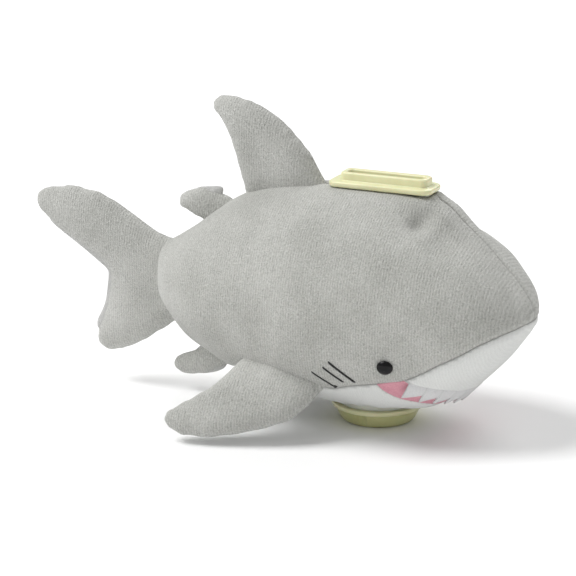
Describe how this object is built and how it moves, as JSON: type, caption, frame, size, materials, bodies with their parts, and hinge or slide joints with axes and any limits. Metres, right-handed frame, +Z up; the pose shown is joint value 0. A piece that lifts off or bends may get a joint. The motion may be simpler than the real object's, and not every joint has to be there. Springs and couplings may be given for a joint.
{
  "type": "plush coin bank",
  "caption": "Stuffed plush shark sewn round a hard coin box, with a coin slot plate on its back, a screw cap under the belly and soft fins that flex.",
  "frame": {"origin": "centre of the screw cap's flat underside, which the bank stands on", "axes": "+X towards the nose, +Y to the shark's left, +Z up"},
  "size_m": [0.2751, 0.1562, 0.1602],
  "materials": {
    "grey_plush": "short-pile plush, grey",
    "white_plush": "short-pile plush, off-white",
    "pink_felt": "brushed lining, pink",
    "white_felt": "smooth felt, white",
    "polyester_fill": "loose polyester stuffing",
    "yellow_plastic": "moulded, pale yellow, satin gloss",
    "box_plastic": "moulded, natural white",
    "black_plastic": "polished black",
    "washer_plastic": "moulded, natural",
    "black_thread": "embroidery thread, black",
    "seal_rubber": "soft moulded seal"
  },
  "bodies": {
    "body": {"body_cover_left": "grey_plush", "body_cover_right": "grey_plush", "snout_cover": "white_plush", "mouth_lining": "pink_felt", "belly_cover": "white_plush", "upper_teeth": "white_felt", "head_stuffing": "polyester_fill", "rear_stuffing": "polyester_fill", "flank_stuffing_left": "polyester_fill", "flank_stuffing_right": "polyester_fill", "crown_stuffing": "polyester_fill", "coin_box_lower": "box_plastic", "coin_box_upper": "box_plastic", "slot_plate": "yellow_plastic", "base_flange": "yellow_plastic", "eye_left": "black_plastic", "eye_right": "black_plastic", "eye_washer_left": "washer_plastic", "eye_washer_right": "washer_plastic", "gill_stitches_left": "black_thread", "gill_stitches_right": "black_thread"},
    "dorsal_fin": {"dorsal_panel_left": "grey_plush", "dorsal_panel_right": "grey_plush", "dorsal_stuffing": "polyester_fill"},
    "rear_dorsal_fin": {"rear_dorsal_panel_left": "grey_plush", "rear_dorsal_panel_right": "grey_plush", "rear_dorsal_stuffing": "polyester_fill"},
    "anal_fin": {"anal_panel_left": "grey_plush", "anal_panel_right": "grey_plush", "anal_stuffing": "polyester_fill"},
    "tail": {"tail_panel_left": "grey_plush", "tail_panel_right": "grey_plush", "tail_stuffing": "polyester_fill"},
    "pectoral_left": {"pectoral_left_panel_upper": "grey_plush", "pectoral_left_panel_lower": "white_plush", "pectoral_left_stuffing": "polyester_fill"},
    "pectoral_right": {"pectoral_right_panel_upper": "grey_plush", "pectoral_right_panel_lower": "white_plush", "pectoral_right_stuffing": "polyester_fill"},
    "cap_carrier": {"cap_seal": "seal_rubber"},
    "cap": {"bottom_cap": "yellow_plastic"}
  },
  "joints": [
    {"name": "pectoral_right_flap", "type": "hinge", "parent": "body", "child": "pectoral_right", "pos_m": [-0.03646, -0.05076, 0.02561], "axis": [-0.9757, -0.1001, 0.1951], "range_deg": [-15, 35], "stiffness_Nm_per_rad": 0.35},
    {"name": "pectoral_left_flap", "type": "hinge", "parent": "body", "child": "pectoral_left", "pos_m": [-0.03646, 0.05076, 0.02561], "axis": [0.9757, -0.1001, -0.1951], "range_deg": [-15, 35], "stiffness_Nm_per_rad": 0.35},
    {"name": "dorsal_flex", "type": "hinge", "parent": "body", "child": "dorsal_fin", "pos_m": [-0.054, 0, 0.1229], "axis": [0.9862, 0, 0.1659], "range_deg": [-35, 35], "stiffness_Nm_per_rad": 0.12},
    {"name": "rear_dorsal_flex", "type": "hinge", "parent": "body", "child": "rear_dorsal_fin", "pos_m": [-0.0938, 0, 0.10545], "axis": [0.8196, 0, 0.5729], "range_deg": [-35, 35], "stiffness_Nm_per_rad": 0.03},
    {"name": "anal_flex", "type": "hinge", "parent": "body", "child": "anal_fin", "pos_m": [-0.09175, 0, 0.0211], "axis": [0.8935, 0, -0.449], "range_deg": [-30, 30], "stiffness_Nm_per_rad": 0.03},
    {"name": "tail_wag", "type": "hinge", "parent": "body", "child": "tail", "pos_m": [-0.1285, 0, 0.058], "axis": [0, 0, 1], "range_deg": [-30, 30], "stiffness_Nm_per_rad": 0.4},
    {"name": "cap_drop", "type": "slide", "parent": "body", "child": "cap_carrier", "axis": [0, 0, -1], "range_m": [0, 0.01]},
    {"name": "cap_turn", "type": "hinge", "parent": "cap_carrier", "child": "cap", "pos_m": [0, 0, 0], "axis": [0, 0, -1], "range_deg": [0, 300]}
  ],
  "couplings": [
    {"joint": "cap_drop", "follows": "cap_turn", "m_per_rad": 0.0019099}
  ]
}
